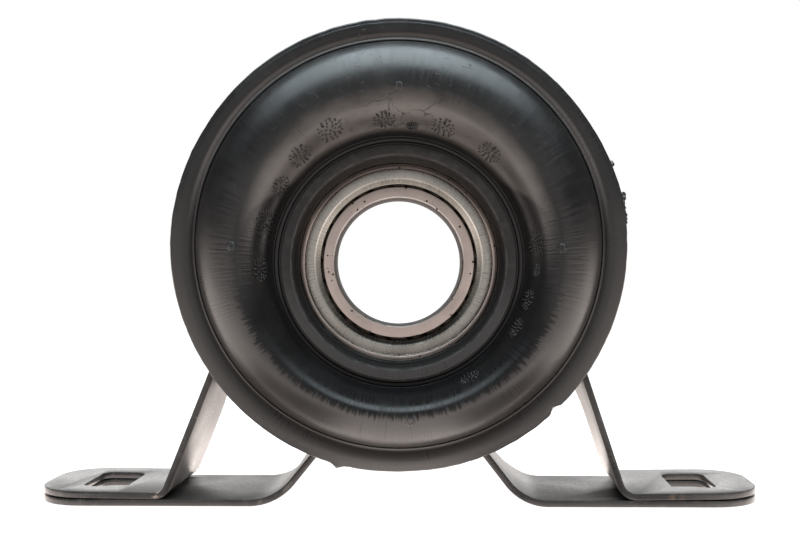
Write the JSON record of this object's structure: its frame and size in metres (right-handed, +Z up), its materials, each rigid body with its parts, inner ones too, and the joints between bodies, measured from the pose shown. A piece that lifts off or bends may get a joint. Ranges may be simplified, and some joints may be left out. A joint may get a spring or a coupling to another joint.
{
  "type": "driveshaft centre bearing",
  "caption": "Propeller shaft centre support: a shielded ball bearing in a moulded rubber ring, clasped by two bent steel straps with slotted feet.",
  "frame": {"origin": "middle of the bearing's bore", "axes": "+Y along the bore axis from the rolled face of the rubber to the back, +X along the line of the feet, +Z up from the feet"},
  "size_m": [0.168, 0.0467, 0.1112],
  "materials": {
    "strap_paint": "thin satin black coating over pressed steel, worn bright at one bend",
    "rubber": "smooth moulded black rubber with a dull gloss, fine cracks and flash at its rim",
    "ring_steel": "ground bearing steel with small pits",
    "shield_steel": "pressed sheet with fine radial scratches",
    "sleeve_steel": "plain drawn steel",
    "cage_steel": "pressed steel ribbon",
    "ball_steel": "polished ball steel"
  },
  "bodies": {
    "housing": {"upper_strap": "strap_paint", "lower_strap": "strap_paint", "rubber_cushion": "rubber", "bearing_sleeve": "sleeve_steel", "outer_ring": "ring_steel", "front_shield": "shield_steel", "rear_shield": "shield_steel"},
    "inner_ring": {"inner_ring": "ring_steel"},
    "ball_cage": {"cage_front": "cage_steel", "cage_rear": "cage_steel", "cage_rivets": "cage_steel", "ball_01": "ball_steel", "ball_02": "ball_steel", "ball_03": "ball_steel", "ball_04": "ball_steel", "ball_05": "ball_steel", "ball_06": "ball_steel", "ball_07": "ball_steel", "ball_08": "ball_steel", "ball_09": "ball_steel", "ball_10": "ball_steel", "ball_11": "ball_steel", "ball_12": "ball_steel", "ball_13": "ball_steel"}
  },
  "joints": [
    {"name": "inner_ring_spin", "type": "hinge", "parent": "housing", "child": "inner_ring", "pos_m": [0, 0, 0], "axis": [0, 1, 0], "continuous": true},
    {"name": "cage_orbit", "type": "hinge", "parent": "housing", "child": "ball_cage", "pos_m": [0, 0, 0], "axis": [0, 1, 0], "continuous": true}
  ],
  "couplings": [
    {"joint": "cage_orbit", "follows": "inner_ring_spin", "ratio": 0.4382}
  ]
}
